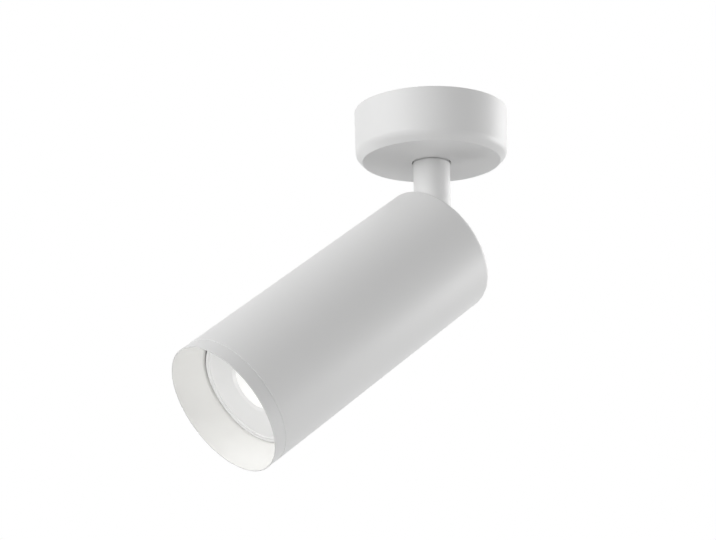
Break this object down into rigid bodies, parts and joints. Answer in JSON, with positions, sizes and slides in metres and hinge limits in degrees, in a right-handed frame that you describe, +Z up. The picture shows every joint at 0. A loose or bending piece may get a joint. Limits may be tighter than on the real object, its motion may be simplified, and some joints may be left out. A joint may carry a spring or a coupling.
{
  "type": "ceiling spotlight",
  "caption": "White ceiling spotlight: round canopy, turning stem and tilting cylindrical head with a screw-in front ring and a twist-lock reflector lamp.",
  "frame": {"origin": "centre of the canopy's ceiling face, on the axis of the stem", "axes": "+Z up into the ceiling; the head tilts in the XZ plane and points down towards -X at rest; -Y is the side that the picture sees, turned 35 degrees"},
  "size_m": [0.1593, 0.07, 0.1714],
  "materials": {
    "white_paint": "satin powder coat",
    "white_aluminium": "satin powder coat",
    "zinc_steel": "zinc plated",
    "spring_steel": "bright",
    "cast_zinc": "as cast",
    "white_nylon": "moulded",
    "dark_nylon": "moulded",
    "brass": "turned",
    "tinned_copper": "tin plated",
    "lead_insulation": "smooth",
    "fibre_sleeve": "braided",
    "ceramic": "unglazed",
    "lamp_plastic": "moulded",
    "lamp_shell_metal": "white lacquer",
    "frosted_lens": "frosted",
    "board": "lacquered",
    "seal_rubber": "smooth"
  },
  "bodies": {
    "canopy_body": {"ceiling_strap": "zinc_steel", "canopy": "white_paint", "canopy_screws": "white_paint", "terminal_block": "white_nylon", "terminal_sleeves": "brass", "terminal_screws": "zinc_steel", "block_screw": "zinc_steel", "earth_screw": "brass", "earth_washer": "zinc_steel", "supply_leads": "lead_insulation", "pan_bush": "dark_nylon"},
    "stem_body": {"stem": "white_aluminium", "stop_washer": "zinc_steel", "spring_washer": "spring_steel", "stem_nut": "zinc_steel", "stem_grommet": "white_nylon", "stem_sleeve": "fibre_sleeve", "stem_leads": "lead_insulation", "knuckle": "cast_zinc", "friction_washers": "white_nylon", "pivot_screws": "zinc_steel"},
    "head_body": {"housing": "white_aluminium", "tilt_yoke": "cast_zinc", "yoke_screws": "zinc_steel", "holder_bracket": "zinc_steel", "lampholder": "ceramic", "holder_contacts": "spring_steel", "holder_screws": "zinc_steel", "head_sleeve": "fibre_sleeve", "head_leads": "lead_insulation", "earth_lead": "lead_insulation", "earth_tag": "tinned_copper", "tag_screw": "brass"},
    "lamp_body": {"lamp_cap": "lamp_plastic", "lamp_pins": "tinned_copper", "lamp_shell": "lamp_shell_metal", "driver_board": "board", "led_board": "board", "lamp_cover": "lamp_plastic", "lamp_lens": "frosted_lens"},
    "seal_body": {"ring_seal": "seal_rubber"},
    "ring_body": {"trim_ring": "white_aluminium"}
  },
  "joints": [
    {"name": "pan", "type": "hinge", "parent": "canopy_body", "child": "stem_body", "pos_m": [0, 0, -0.0237], "axis": [0, 0, 1], "range_deg": [-160, 160]},
    {"name": "tilt", "type": "hinge", "parent": "stem_body", "child": "head_body", "pos_m": [0, 0, -0.0667], "axis": [0, 1, 0], "range_deg": [-52.7, 7.3]},
    {"name": "lamp_turn", "type": "hinge", "parent": "head_body", "child": "lamp_body", "pos_m": [0, 0, -0.0667], "axis": [-0.7955, 0, -0.606], "range_deg": [0, 45]},
    {"name": "ring_advance", "type": "slide", "parent": "head_body", "child": "seal_body", "axis": [-0.7955, 0, -0.606], "range_m": [0, 0.0068]},
    {"name": "ring_turn", "type": "hinge", "parent": "seal_body", "child": "ring_body", "pos_m": [0, 0, -0.0667], "axis": [-0.7955, 0, -0.606], "range_deg": [0, 1620]}
  ],
  "couplings": [
    {"joint": "ring_advance", "follows": "ring_turn", "m_per_rad": 0.00023873}
  ]
}
